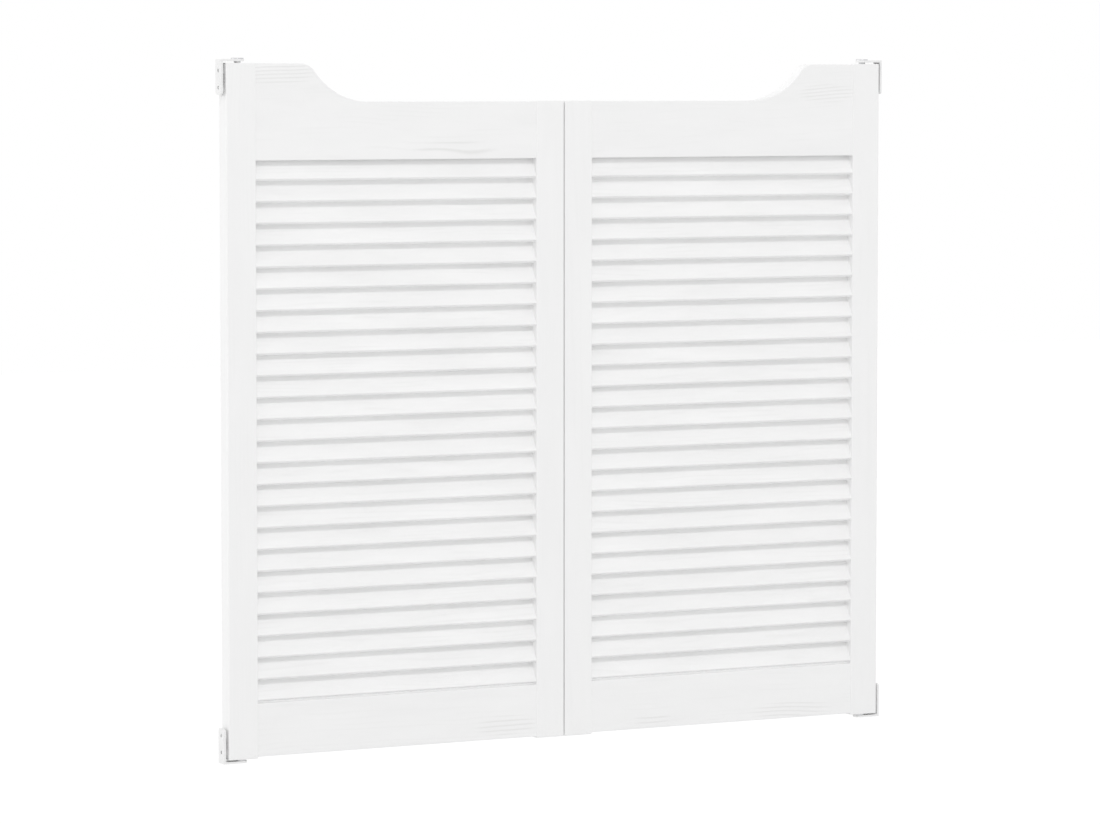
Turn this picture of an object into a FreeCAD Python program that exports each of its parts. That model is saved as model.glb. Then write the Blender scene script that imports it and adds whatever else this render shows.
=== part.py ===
"""Pair of louvred cafe doors that swing both ways on concealed spring pivots.

Frame: X runs from the left leaf to the right leaf, the front faces -Y, +Z is up.
The origin is midway between the leaves, at mid thickness, level with the underside
of the bottom brackets. The left leaf is drawn here, and the right leaf is its mirror image.
"""
import FreeCAD, Part
import math
import os

from FreeCAD import Vector

# ---- Driving dimensions, millimetres and degrees -------------------------------------

# Leaf frame
leaf_width = 449.5            # outer edge to meeting edge of one leaf
leaf_height = 820.0           # length of the hinge stile
meeting_gap = 1.0             # between the two meeting stiles
stile_width = 38.0
stile_thickness = 21.0
stile_arris = 1.5             # eased edges of the stiles
rail_arris = 1.0              # eased edges of the rails
rail_setback = 1.0            # rail faces behind the stile faces, front and back
top_rail_height = 68.9        # of its low, level stretch
bottom_rail_height = 63.2
top_end_setback = 0.5         # rail edges below the top ends of the stiles
bottom_end_setback = 2.0      # bottom rail above the bottom ends of the stiles

# Sweep of the top edge, from the high shoulder down to the low edge
low_edge_drop = 45.0          # low edge below the shoulder
sweep_end = 185.5             # outer edge of the leaf to the end of the sweep
sweep_radius = 87.0           # hollow curve that runs out into the low edge
crest_radius = 23.0           # round curve at the end of the shoulder

# Louvre slats: they span the thickness of the rails, and their number is fixed
slat_count = 25
slat_thickness = 6.0
slat_nose_radius = 1.2        # rounded long edges
slat_lean = 28.0              # from the vertical, front edge low
slat_face_inset = 0.1         # slat's noses behind the faces of the rails
rebate_depth = 5.0            # back lower edge of the top rail, where the first slat is let in
last_slat_clearance = 1.9     # last slat to the bottom rail
housing_depth = 8.0           # slanted housings cut in the stiles
housing_clearance = 0.1       # around the slat's section
slat_end_clearance = 0.5      # slat's end to the bottom of its housing

# Glued dowels between rails and stiles
dowel_radius = 4.0
dowel_in_stile = 24.0
dowel_in_rail = 26.0
dowel_edge_distance = 18.0    # dowels' centres to the rail's edges
glue_gap = 0.05               # radial, dowel to hole
dowel_end_clearance = 1.0

# Steel angle brackets on the door jambs
bracket_gauge = 2.5
bracket_width = 16.0
bracket_leg_height = 42.0
bracket_corner_radius = 4.0
bracket_bend_radius = 1.0
bracket_side_gap = 3.0        # upright leg to the outer edge of the leaf
bracket_end_gap = 2.0         # level leg to the end of the stile
screw_hole_radius = 2.25
screw_hole_land = 0.5         # straight wall left behind the countersink
screw_spacing = 20.0
screw_end_distance = 8.5      # outer screw hole to the end of the leg

# Pins and bushes
pivot_inset = 19.0            # pivot axis to the outer edge of the leaf
pin_radius = 4.0
running_clearance = 0.05      # radial, pin in bush
thrust_play = 0.05            # shoulder of the bottom pin to the flange of its bush
shoulder_step = 2.5           # shoulder of the bottom pin, beyond its journal
rivet_step = 1.0              # riveted spigot of the bottom pin, inside its journal
bottom_pin_end_gap = 1.5      # bottom pin short of the end of its bush
pin_tip_chamfer = 0.8
neck_margin = 0.4             # square neck of the top pin, wider than its journal
neck_clearance = 0.1          # neck to the square hole in the bracket
head_step = 3.5               # head of the top pin, beyond its journal
head_height = 1.5
bottom_bush_length = 12.0
top_bush_length = 11.0
bush_fit_gap = 0.05           # bush to the wood around it
flange_lip = 0.8              # flange of a bush, beyond its barrel
flange_thickness = 1.5
key_width = 1.6               # ribs that keep a bush from turning in the stile
key_height = 1.0

# Return spring, round the top pin
wire_radius = 1.0
coil_turns = 9
coil_pitch = 2.15
coil_pin_gap = 0.6            # coil to the pin inside it
coil_bore_gap = 0.65          # coil to the bore around it
spring_bush_gap = 0.5         # top coil to the bush
spring_leg_length = 6.0       # up into the bush
tang_clearance = 0.2          # wire to the slot in the pin, and to its hole in the bush
tang_overhang = 0.5           # tang beyond the far side of the pin
pin_tip_below_tang = 3.0
pivot_bore_clearance = 4.0    # tip of the top pin to the bottom of its bore

# ---- Sizes that follow ---------------------------------------------------------------

outer_edge = -(meeting_gap / 2 + leaf_width)
inner_edge = -meeting_gap / 2
hinge_side = outer_edge + stile_width          # inner face of the hinge stile
meeting_side = inner_edge - stile_width        # inner face of the meeting stile
rail_length = meeting_side - hinge_side
rail_thickness = stile_thickness - 2 * rail_setback

leaf_base = bracket_gauge + bracket_end_gap
leaf_top = leaf_base + leaf_height
low_stile_top = leaf_top - low_edge_drop
shoulder_top = leaf_top - top_end_setback
low_edge = low_stile_top - top_end_setback
top_rail_base = low_edge - top_rail_height
bottom_rail_base = leaf_base + bottom_end_setback
bottom_rail_top = bottom_rail_base + bottom_rail_height

lean = math.radians(slat_lean)
nose_radius = min(slat_nose_radius, 0.49 * slat_thickness)
nose_reach = rail_thickness / 2 - slat_face_inset - nose_radius
nose_offset = slat_thickness / 2 - nose_radius
slat_half_width = (nose_reach - nose_offset * math.cos(lean)) / math.sin(lean) + nose_radius
slat_half_rise = ((slat_half_width - nose_radius) * math.cos(lean)
                  + nose_offset * math.sin(lean) + nose_radius)
first_slat_z = top_rail_base + rebate_depth - slat_half_rise
last_slat_z = bottom_rail_top + last_slat_clearance + slat_half_rise
slat_pitch = (first_slat_z - last_slat_z) / (slat_count - 1)

pivot_x = outer_edge + pivot_inset
bracket_outer = outer_edge - bracket_side_gap - bracket_gauge
top_plate_base = leaf_top + bracket_end_gap
top_plate_top = top_plate_base + bracket_gauge
neck_half = pin_radius + neck_margin / 2
coil_radius = pin_radius + coil_pin_gap + wire_radius
bore_radius = coil_radius + wire_radius + coil_bore_gap
bush_radius = bore_radius - bush_fit_gap
spring_top = leaf_top - top_bush_length - spring_bush_gap - wire_radius
spring_base = spring_top - coil_turns * coil_pitch
top_pin_tip = spring_base - wire_radius - pin_tip_below_tang


# ---- Small helpers -------------------------------------------------------------------

def block(x0, x1, y0, y1, z0, z1):
    """Box between two corners."""
    return Part.makeBox(x1 - x0, y1 - y0, z1 - z0, Vector(x0, y0, z0))


def pivot_rod(radius, z0, z1, offset=0.0):
    """Upright cylinder between two heights, on the pivot axis or beside it."""
    base, top = min(z0, z1), max(z0, z1)
    return Part.makeCylinder(radius, top - base, Vector(pivot_x + offset, 0, base))


def level_rod(radius, x0, x1, z):
    """Cylinder along X between two places."""
    start, end = min(x0, x1), max(x0, x1)
    return Part.makeCylinder(radius, end - start, Vector(start, 0, z), Vector(1, 0, 0))


def rim_at(shape, z):
    """Edges of a shape that lie level at one height."""
    return [edge for edge in shape.Edges
            if abs(edge.BoundBox.ZMin - z) < 1e-6 and abs(edge.BoundBox.ZMax - z) < 1e-6]


# ---- Slats and their housings --------------------------------------------------------

def slat_bar(x0, x1, z, clearance=0.0):
    """Bar of the slat's rounded section between two places, leaning with its front edge low."""
    half_thickness = slat_thickness / 2 + clearance
    half_width = slat_half_width + clearance
    bar = block(x0, x1, -half_thickness, half_thickness, -half_width, half_width)
    long_edges = [edge for edge in bar.Edges if edge.BoundBox.XLength > 1e-6]
    bar = bar.makeFillet(nose_radius + clearance, long_edges)
    bar.rotate(Vector(0, 0, 0), Vector(1, 0, 0), -slat_lean)
    bar.translate(Vector(0, 0, z))
    return bar


def slat_heights():
    """Heights of the slats' centres, from the top slat down."""
    return [first_slat_z - index * slat_pitch for index in range(slat_count)]


def slat(z):
    """One slat, with both ends in the housings."""
    in_housing = housing_depth - slat_end_clearance
    return slat_bar(hinge_side - in_housing, meeting_side + in_housing, z)


def housings(x0, x1):
    """All slanted housings of one stile, between its inner face and their bottoms."""
    return [slat_bar(x0, x1, z, housing_clearance) for z in slat_heights()]


# ---- Dowels --------------------------------------------------------------------------

def dowel_places(rail_base, rail_height):
    """Inner face of the stile, direction into the stile, and height of each dowel of a rail."""
    heights = (rail_base + dowel_edge_distance, rail_base + rail_height - dowel_edge_distance)
    return [(x, direction, z) for x, direction in ((hinge_side, -1), (meeting_side, 1))
            for z in heights]


top_rail_dowels = dowel_places(top_rail_base, top_rail_height)
bottom_rail_dowels = dowel_places(bottom_rail_base, bottom_rail_height)


def dowel(x, direction, z, clearance=0.0, extra=0.0):
    """A dowel across the joint at x, or with clearance and extra length the hole for it."""
    in_stile = x + direction * (dowel_in_stile + extra)
    in_rail = x - direction * (dowel_in_rail + extra)
    return level_rod(dowel_radius + clearance, in_stile, in_rail, z)


def dowel_holes():
    """Holes for every dowel, in both rails and both stiles."""
    return [dowel(*place, clearance=glue_gap, extra=dowel_end_clearance)
            for place in top_rail_dowels + bottom_rail_dowels]


# ---- Stiles --------------------------------------------------------------------------

def stile_blank(x0, x1, top):
    """Upright with all its edges eased."""
    half = stile_thickness / 2
    blank = block(x0, x1, -half, half, leaf_base, top)
    return blank.makeFillet(stile_arris, blank.Edges)


def bush_seat(end, inward, length):
    """Bore, flange recess and key slots for a bush let into an end of the hinge stile."""
    return [
        pivot_rod(bore_radius, end, end + inward * length),
        pivot_rod(bush_radius + flange_lip + bush_fit_gap, end, end + inward * flange_thickness),
        bush_keys(end, inward, length, bush_fit_gap),
    ]


def hinge_stile():
    """Outer upright: housings, dowel holes and the two pivot bores."""
    cuts = housings(hinge_side - housing_depth, hinge_side)
    cuts += dowel_holes()
    cuts += bush_seat(leaf_base, 1, bottom_bush_length)
    cuts += bush_seat(leaf_top, -1, top_bush_length)
    cuts.append(pivot_rod(bore_radius, top_pin_tip - pivot_bore_clearance, leaf_top))
    return stile_blank(outer_edge, hinge_side, leaf_top).cut(cuts)


def meeting_stile():
    """Inner upright, up to the low edge."""
    cuts = housings(meeting_side, meeting_side + housing_depth) + dowel_holes()
    return stile_blank(meeting_side, inner_edge, low_stile_top).cut(cuts)


# ---- Rails ---------------------------------------------------------------------------

def rail_board(outline):
    """Board of rail thickness with square ends, its other edges eased on both faces."""
    face_y = rail_thickness / 2
    face = Part.Face(Part.Wire(outline))
    board = face.extrude(Vector(0, rail_thickness, 0))
    eased = []
    for edge in board.Edges:
        box = edge.BoundBox
        on_a_face = box.YLength < 1e-6 and abs(abs(box.YMin) - face_y) < 1e-6
        if on_a_face and box.XLength > 1e-6:
            eased.append(edge)
    return board.makeFillet(rail_arris, eased).cut(dowel_holes())


def arc_about(centre, radius, start_angle, end_angle):
    """Arc in the XZ plane about a centre, between two angles in radians."""
    def point(angle):
        return centre + Vector(radius * math.cos(angle), 0, radius * math.sin(angle))
    return Part.Arc(point(start_angle), point((start_angle + end_angle) / 2), point(end_angle)).toShape()


def slat_rebate():
    """Slanted cut along the top rail for the upper edge of the first slat, open to the back."""
    front = -slat_thickness / 2 - housing_clearance
    top = slat_half_width + housing_clearance
    cut = block(hinge_side, meeting_side, front, stile_thickness, -slat_half_width, top)
    cut.rotate(Vector(0, 0, 0), Vector(1, 0, 0), -slat_lean)
    cut.translate(Vector(0, 0, first_slat_z))
    return cut


def top_rail():
    """Board with a shoulder at the hinge side and a sweep down to the low edge.

    The sweep is two arcs that meet tangentially on the line between their centres:
    a round crest that leaves the shoulder level, and a hollow that runs out level into the low edge.
    """
    y = -rail_thickness / 2
    hollow = Vector(outer_edge + sweep_end, y, low_edge + sweep_radius)
    crest_z = shoulder_top - crest_radius
    rise = hollow.z - crest_z
    run = math.sqrt((sweep_radius + crest_radius) ** 2 - rise ** 2)
    crest = Vector(hollow.x - run, y, crest_z)
    slope = math.atan2(rise, run)
    corners = [Vector(crest.x, y, shoulder_top), Vector(hinge_side, y, shoulder_top),
               Vector(hinge_side, y, top_rail_base), Vector(meeting_side, y, top_rail_base),
               Vector(meeting_side, y, low_edge), Vector(hollow.x, y, low_edge)]
    straights = [Part.makeLine(start, end) for start, end in zip(corners, corners[1:])]
    hollow_arc = arc_about(hollow, sweep_radius, 1.5 * math.pi, math.pi + slope)
    crest_arc = arc_about(crest, crest_radius, slope, 0.5 * math.pi)
    return rail_board(straights + [hollow_arc, crest_arc]).cut(slat_rebate())


def bottom_rail():
    """Plain board between the stiles."""
    y = -rail_thickness / 2
    corners = [Vector(hinge_side, y, bottom_rail_base), Vector(meeting_side, y, bottom_rail_base),
               Vector(meeting_side, y, bottom_rail_top), Vector(hinge_side, y, bottom_rail_top)]
    return rail_board([Part.makeLine(start, end)
                       for start, end in zip(corners, corners[1:] + corners[:1])])


# ---- Bushes --------------------------------------------------------------------------

def bush_keys(end, inward, length, clearance=0.0):
    """Bar whose ends are the two ribs of a bush, or with clearance their slots in the stile."""
    half = key_width / 2 + clearance
    reach = bush_radius + key_height + clearance
    z0, z1 = sorted((end, end + inward * (length + clearance)))
    return block(pivot_x - reach, pivot_x + reach, -half, half, z0, z1)


def bush(end, inward, length):
    """Flanged nylon bush whose flange is flush with the end of the stile."""
    barrel = pivot_rod(bush_radius, end, end + inward * length)
    flange = pivot_rod(bush_radius + flange_lip, end, end + inward * flange_thickness)
    keys = bush_keys(end + inward * flange_thickness, inward, length - flange_thickness)
    bore = pivot_rod(pin_radius + running_clearance, end, end + inward * length)
    return barrel.fuse([flange, keys]).cut(bore).removeSplitter()


def top_bush():
    """Bush in the top end of the stile, with a blind hole for the upper leg of the spring."""
    hole_end = spring_top + spring_leg_length + tang_clearance
    leg_hole = pivot_rod(wire_radius + tang_clearance, spring_top, hole_end, coil_radius)
    return bush(leaf_top, -1, top_bush_length).cut(leg_hole)


# ---- Pins and spring -----------------------------------------------------------------

def bottom_pivot_pin():
    """Riveted spigot, thrust shoulder and journal in one turned piece."""
    shoulder_top_z = leaf_base - thrust_play
    tip = leaf_base + bottom_bush_length - bottom_pin_end_gap
    spigot = pivot_rod(pin_radius - rivet_step, 0, bracket_gauge)
    shoulder = pivot_rod(pin_radius + shoulder_step, bracket_gauge, shoulder_top_z)
    journal = pivot_rod(pin_radius, shoulder_top_z, tip)
    journal = journal.makeChamfer(pin_tip_chamfer, rim_at(journal, tip))
    return spigot.fuse([shoulder, journal]).removeSplitter()


def top_pivot_pin():
    """Drop-in pin: low head, square neck in the bracket, journal, and a slot for the tang."""
    head_top = top_plate_top + head_height
    head = pivot_rod(pin_radius + head_step, top_plate_top, head_top)
    head = head.makeFillet(head_height / 2, rim_at(head, head_top))
    neck = block(pivot_x - neck_half, pivot_x + neck_half, -neck_half, neck_half,
                 top_plate_base, top_plate_top)
    journal = pivot_rod(pin_radius, top_pin_tip, top_plate_base)
    slot_half = wire_radius + tang_clearance
    slot = block(pivot_x - 2 * pin_radius, pivot_x + 2 * pin_radius, -slot_half, slot_half,
                 top_pin_tip, spring_base + slot_half)
    return head.fuse([neck, journal]).cut(slot).removeSplitter()


def return_spring():
    """Torsion spring: upper leg in the top bush, lower tang across the slot in the top pin."""
    helix = Part.Wire(Part.makeHelix(coil_pitch, coil_turns * coil_pitch, coil_radius))
    wire_end = Part.Wire(Part.makeCircle(wire_radius, Vector(coil_radius, 0, 0), Vector(0, 1, 0)))
    coil = helix.makePipeShell([wire_end], True, True)
    coil.translate(Vector(pivot_x, 0, spring_base))
    tang = level_rod(wire_radius, pivot_x - pin_radius - tang_overhang, pivot_x + coil_radius,
                     spring_base)
    leg = pivot_rod(wire_radius, spring_top, spring_top + spring_leg_length, coil_radius)
    return coil.fuse([tang, leg])


# ---- Brackets ------------------------------------------------------------------------

def screw_holes():
    """Two countersunk holes in the upright leg, opening towards the leaf."""
    face = bracket_outer + bracket_gauge
    sink_depth = bracket_gauge - screw_hole_land
    outer_hole = bracket_leg_height - screw_end_distance
    cuts = []
    for z in (outer_hole, outer_hole - screw_spacing):
        cuts.append(level_rod(screw_hole_radius, bracket_outer, face, z))
        cuts.append(Part.makeCone(screw_hole_radius, screw_hole_radius + sink_depth, sink_depth,
                                  Vector(face - sink_depth, 0, z), Vector(1, 0, 0)))
    return cuts


def bracket():
    """Folded angle under the stile, before the hole for its pin: level leg, upright leg, bend."""
    half = bracket_width / 2
    leg_face = bracket_outer + bracket_gauge
    level_leg = block(bracket_outer, pivot_x, -half, half, 0, bracket_gauge)
    rounded_end = pivot_rod(half, 0, bracket_gauge)
    upright = block(bracket_outer, leg_face, -half, half, 0, bracket_leg_height)
    top_corners = [edge for edge in upright.Edges
                   if edge.BoundBox.XLength > 1e-6 and edge.BoundBox.ZMin > bracket_gauge]
    upright = upright.makeFillet(bracket_corner_radius, top_corners)
    angle = upright.fuse([level_leg, rounded_end]).removeSplitter()
    bend = [edge for edge in rim_at(angle, bracket_gauge)
            if edge.BoundBox.XLength < 1e-6 and abs(edge.BoundBox.XMin - leg_face) < 1e-6]
    return angle.makeFillet(bracket_bend_radius, bend).cut(screw_holes())


def bottom_bracket():
    """Bracket under the hinge stile, with the hole that its pin is riveted in."""
    return bracket().cut(pivot_rod(pin_radius - rivet_step, 0, bracket_gauge))


def top_bracket():
    """The same angle upside down over the stile, with a square hole for the neck of its pin."""
    turned = bracket().mirror(Vector(0, 0, top_plate_top / 2), Vector(0, 0, 1))
    half = neck_half + neck_clearance
    return turned.cut(block(pivot_x - half, pivot_x + half, -half, half,
                            top_plate_base, top_plate_top))


# ---- Assembly ------------------------------------------------------------------------

def slat_nodes():
    """Slats in pairs from the top down; an odd last slat stands alone."""
    heights = slat_heights()
    nodes = {}
    for first in range(0, slat_count, 2):
        pair = heights[first:first + 2]
        numbers = ["%02d" % (first + place + 1) for place in range(len(pair))]
        nodes["slats_" + "_".join(numbers)] = Part.Compound([slat(z) for z in pair])
    return nodes


def left_nodes():
    """Every node of the left side."""
    nodes = {
        "hinge_stile": hinge_stile(),
        "meeting_stile": meeting_stile(),
        "top_rail": top_rail(),
        "bottom_rail": bottom_rail(),
        "top_rail_dowels": Part.Compound([dowel(*place) for place in top_rail_dowels]),
        "bottom_rail_dowels": Part.Compound([dowel(*place) for place in bottom_rail_dowels]),
        "bottom_bush": bush(leaf_base, 1, bottom_bush_length),
        "top_bush": top_bush(),
        "return_spring": return_spring(),
        "bottom_bracket": bottom_bracket(),
        "bottom_pivot_pin": bottom_pivot_pin(),
        "top_bracket": top_bracket(),
        "top_pivot_pin": top_pivot_pin(),
    }
    nodes.update(slat_nodes())
    return nodes


def main():
    os.makedirs("parts", exist_ok=True)
    for node, shape in left_nodes().items():
        shape.exportStep("parts/left_%s.step" % node)
        twin = shape.mirror(Vector(0, 0, 0), Vector(1, 0, 0))
        twin.exportStep("parts/right_%s.step" % node)
    print("slat pitch %.2f, slat width %.2f, doorway %.1f, overall height %.1f"
          % (slat_pitch, 2 * slat_half_width, -2 * bracket_outer, top_plate_top + head_height))


main()
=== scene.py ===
# %% [markdown]
# # A pair of louvred cafe doors, dressed in Blender
#
# The CAD model gives every part its size and place. This lesson gives the parts the look of the real
# pair: pine boards under satin white paint, with the grain standing a little proud of the surface.
#
# One rule runs through it. The CAD parts are never moved. Where a part needs a finer surface than the
# CAD has, we work out a new mesh with numpy, in metres, in the same frame, and it stands for the part.

# %% Load the CAD frame
import math

import bpy
import numpy as np
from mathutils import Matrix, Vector


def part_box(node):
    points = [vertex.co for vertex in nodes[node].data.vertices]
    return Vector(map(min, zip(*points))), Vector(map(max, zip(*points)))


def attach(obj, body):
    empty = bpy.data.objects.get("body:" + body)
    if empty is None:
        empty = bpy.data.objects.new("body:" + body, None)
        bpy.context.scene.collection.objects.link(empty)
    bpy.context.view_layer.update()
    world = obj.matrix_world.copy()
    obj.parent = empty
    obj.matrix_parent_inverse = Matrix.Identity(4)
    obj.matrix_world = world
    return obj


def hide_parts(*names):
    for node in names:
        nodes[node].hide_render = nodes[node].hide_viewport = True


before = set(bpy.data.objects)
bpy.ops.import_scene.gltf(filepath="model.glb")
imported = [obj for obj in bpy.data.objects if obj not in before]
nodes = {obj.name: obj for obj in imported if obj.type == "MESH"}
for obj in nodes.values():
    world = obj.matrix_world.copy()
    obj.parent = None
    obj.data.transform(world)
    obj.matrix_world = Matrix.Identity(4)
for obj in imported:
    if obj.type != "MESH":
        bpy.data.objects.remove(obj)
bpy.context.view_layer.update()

scene = bpy.context.scene

# %% [markdown]
# ## The camera
#
# A long lens far away keeps upright lines nearly parallel, as in a catalogue picture. The camera stands
# to the left of the doors, about as high as their top edge, and looks a few degrees down.
#
# A camera in Blender looks along its own -Z axis. Turning it 90 degrees about X makes it look level
# along +Y, a little less tips it down, and a turn about Z swings it to the right. Its lens in
# millimetres is the focal length as a share of the picture's width, times the sensor's width.

# %% Place the camera
FRAME_WIDTH_PX = 1100
FOCAL_LENGTH_PX = 4822.7
SENSOR_WIDTH_MM = 36.0
CAMERA_PLACE = (-2.8107, -5.1451, 0.8047)
CAMERA_TURN_DEG = 28.523
CAMERA_TIP_DEG = 3.940

camera_data = bpy.data.cameras.new("Catalogue_camera")
camera_data.sensor_fit = "HORIZONTAL"
camera_data.sensor_width = SENSOR_WIDTH_MM
camera_data.lens = FOCAL_LENGTH_PX / FRAME_WIDTH_PX * SENSOR_WIDTH_MM
camera = bpy.data.objects.new("Catalogue_camera", camera_data)
camera.location = CAMERA_PLACE
camera.rotation_euler = (math.radians(90 - CAMERA_TIP_DEG), 0, -math.radians(CAMERA_TURN_DEG))
scene.collection.objects.link(camera)
scene.camera = camera
scene.view_settings.view_transform = "Standard"
print("lens: %.1f mm" % camera_data.lens)

# %% [markdown]
# ## Sums made of shader nodes
#
# The sky, the floor and every finish are small sums done by shader nodes. Two kinds of node come back
# all the time: Math, which calculates, and Map Range, which carries a value from one range to another.
# A helper for each keeps the recipes further down short enough to read.

# %% Helpers for single nodes


def calculate(tree, operation, first, second):
    """Output of a Math node, each of whose two inputs is a socket or a plain number."""
    node = tree.nodes.new("ShaderNodeMath")
    node.operation = operation
    for socket, value in zip(node.inputs, (first, second)):
        if isinstance(value, bpy.types.NodeSocket):
            tree.links.new(value, socket)
        else:
            socket.default_value = value
    return node.outputs[0]


def map_range(tree, value, from_range, to_range, shape="LINEAR"):
    """Output of a Map Range node: from_range is carried to to_range, and what lies outside is clamped."""
    node = tree.nodes.new("ShaderNodeMapRange")
    node.interpolation_type = shape
    labels = ("From Min", "From Max", "To Min", "To Max")
    for label, number in zip(labels, (*from_range, *to_range)):
        node.inputs[label].default_value = number
    tree.links.new(value, node.inputs["Value"])
    return node.outputs["Result"]


# %% [markdown]
# ## Light, floor and background
#
# White paint is shown by its shadows alone, so the light has to be soft and yet come from somewhere.
# A white studio does most of the work. Its backdrop is the brightest part, so the sky is a little
# stronger behind the doors than in front, and brightens their edges. Overhead it is weaker, so that
# edges which face up don't burn out.
#
# The background is white without putting more light on the doors: the sky is plain white only for
# rays that come straight from the camera, or by way of something shiny or clear.

# %% Tell the camera's rays from the others


def seen_directly(tree):
    """Socket that is 1 for camera, glossy and transmission rays, and 0 for the rest."""
    path = tree.nodes.new("ShaderNodeLightPath")
    either = path.outputs["Is Camera Ray"]
    for kind in ("Is Glossy Ray", "Is Transmission Ray"):
        either = calculate(tree, "MAXIMUM", either, path.outputs[kind])
    return either


# %% Paint the sky
WHITE = (1, 1, 1, 1)
SKY_IN_FRONT = 1.03
SKY_BEHIND = 1.37
SKY_BLEND = (-0.5, 0.5)
SKY_OVERHEAD_SHARE = 0.65

world = bpy.data.worlds.new("Soft_white_studio")
world.use_nodes = True
scene.world = world
sky = world.node_tree
sky.nodes.clear()
sky_direction = sky.nodes.new("ShaderNodeTexCoord")
sky_axes = sky.nodes.new("ShaderNodeSeparateXYZ")
sky.links.new(sky_direction.outputs["Generated"], sky_axes.inputs[0])
front_to_back = map_range(sky, sky_axes.outputs["Y"], SKY_BLEND, (SKY_IN_FRONT, SKY_BEHIND), "SMOOTHSTEP")
level_to_overhead = map_range(sky, sky_axes.outputs["Z"], (0.0, 1.0), (1.0, SKY_OVERHEAD_SHARE))
sky_strength = calculate(sky, "MULTIPLY", front_to_back, level_to_overhead)
lighting_sky = sky.nodes.new("ShaderNodeBackground")
lighting_sky.inputs["Color"].default_value = WHITE
sky.links.new(sky_strength, lighting_sky.inputs["Strength"])
white_sky = sky.nodes.new("ShaderNodeBackground")
white_sky.inputs["Color"].default_value = WHITE
white_sky.inputs["Strength"].default_value = 1.0
either_sky = sky.nodes.new("ShaderNodeMixShader")
sky.links.new(seen_directly(sky), either_sky.inputs["Fac"])
sky.links.new(lighting_sky.outputs[0], either_sky.inputs[1])
sky.links.new(white_sky.outputs[0], either_sky.inputs[2])
sky_output = sky.nodes.new("ShaderNodeOutputWorld")
sky.links.new(either_sky.outputs[0], sky_output.inputs["Surface"])
print("sky: %.2f in front, %.2f behind, nodes: %d" % (SKY_IN_FRONT, SKY_BEHIND, len(sky.nodes)))

# %% [markdown]
# One round softbox hangs above and in front, a little to the left. It draws the dark line under every
# slat. From twelve metres away its light is nearly parallel, so those lines are as tall at the bottom
# as at the top. Its power is the light that should reach the doors, times pi, times the distance
# squared.
#
# A weak broad sun from behind on the left stands for the lit wall there.

# %% Hang the lamps
DOORS_MIDDLE = Vector((0.0, 0.0, 0.41))
LAMP_DISTANCE = 12.0
KEY_IRRADIANCE = 0.59
KEY_WIDTH_DEG = 10.0
KEY_HEIGHT_DEG = 41.5
KEY_TO_THE_LEFT_DEG = 20.0
WALL_STRENGTH = 0.345
WALL_WIDTH_DEG = 40.0
WALL_HEIGHT_DEG = 5.0
WALL_TO_THE_LEFT_DEG = 110.0


def direction_to(height_deg, left_deg):
    """Unit vector from the doors to a light: the angle left is from straight in front."""
    height, left = math.radians(height_deg), math.radians(left_deg)
    across, forward = math.sin(left), math.cos(left)
    return Vector((-math.cos(height) * across, -math.cos(height) * forward, math.sin(height)))


def hang_light(name, data, towards):
    """Lamp far from the middle of the doors in the given direction, shining back at it."""
    lamp = bpy.data.objects.new(name, data)
    lamp.rotation_mode = "QUATERNION"
    lamp.rotation_quaternion = towards.to_track_quat("Z", "Y")
    lamp.location = DOORS_MIDDLE + towards * LAMP_DISTANCE
    scene.collection.objects.link(lamp)
    return lamp


key_data = bpy.data.lights.new("Key_softbox", "AREA")
key_data.shape = "DISK"
key_data.size = 2 * LAMP_DISTANCE * math.tan(math.radians(KEY_WIDTH_DEG / 2))
key_data.energy = KEY_IRRADIANCE * math.pi * LAMP_DISTANCE ** 2
key = hang_light("Key_softbox", key_data, direction_to(KEY_HEIGHT_DEG, KEY_TO_THE_LEFT_DEG))

wall_data = bpy.data.lights.new("Lit_wall", "SUN")
wall_data.energy = WALL_STRENGTH
wall_data.angle = math.radians(WALL_WIDTH_DEG)
hang_light("Lit_wall", wall_data, direction_to(WALL_HEIGHT_DEG, WALL_TO_THE_LEFT_DEG))
print("softbox: %.2f m wide, %.0f W, at" % (key_data.size, key_data.energy),
      [round(c, 2) for c in key.location])

# %% [markdown]
# Doors like these hang at waist height in a doorway, so the floor lies well below them. Its white is
# part colour and part glow. The glow is seen only by the camera, and the colour keeps the doors' shadow.

# %% Lay the floor
FLOOR_HEIGHT = -0.45
FLOOR_HALF_SIZE = 14.0
FLOOR_WHITE = 0.79
FLOOR_GLOW = 1.22
FLOOR_GLOW_SHARE = 0.6

floor_mesh = bpy.data.meshes.new("Studio_floor")
corners = np.array([(-1, -1), (1, -1), (1, 1), (-1, 1)]) * FLOOR_HALF_SIZE
floor_mesh.from_pydata([(x, y, FLOOR_HEIGHT) for x, y in corners], [], [(0, 1, 2, 3)])
floor = bpy.data.objects.new("Studio_floor", floor_mesh)
scene.collection.objects.link(floor)

floor_paint = bpy.data.materials.new("Studio_floor_white")
floor_paint.use_nodes = True
tree = floor_paint.node_tree
tree.nodes.clear()
matt = tree.nodes.new("ShaderNodeBsdfDiffuse")
matt.inputs["Color"].default_value = (FLOOR_WHITE, FLOOR_WHITE, FLOOR_WHITE, 1)
glow = tree.nodes.new("ShaderNodeEmission")
glow.inputs["Strength"].default_value = FLOOR_GLOW
glow_share = calculate(tree, "MULTIPLY", seen_directly(tree), FLOOR_GLOW_SHARE)
mixed = tree.nodes.new("ShaderNodeMixShader")
tree.links.new(glow_share, mixed.inputs["Fac"])
tree.links.new(matt.outputs[0], mixed.inputs[1])
tree.links.new(glow.outputs[0], mixed.inputs[2])
floor_output = tree.nodes.new("ShaderNodeOutputMaterial")
tree.links.new(mixed.outputs[0], floor_output.inputs["Surface"])
floor_mesh.materials.append(floor_paint)
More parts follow.
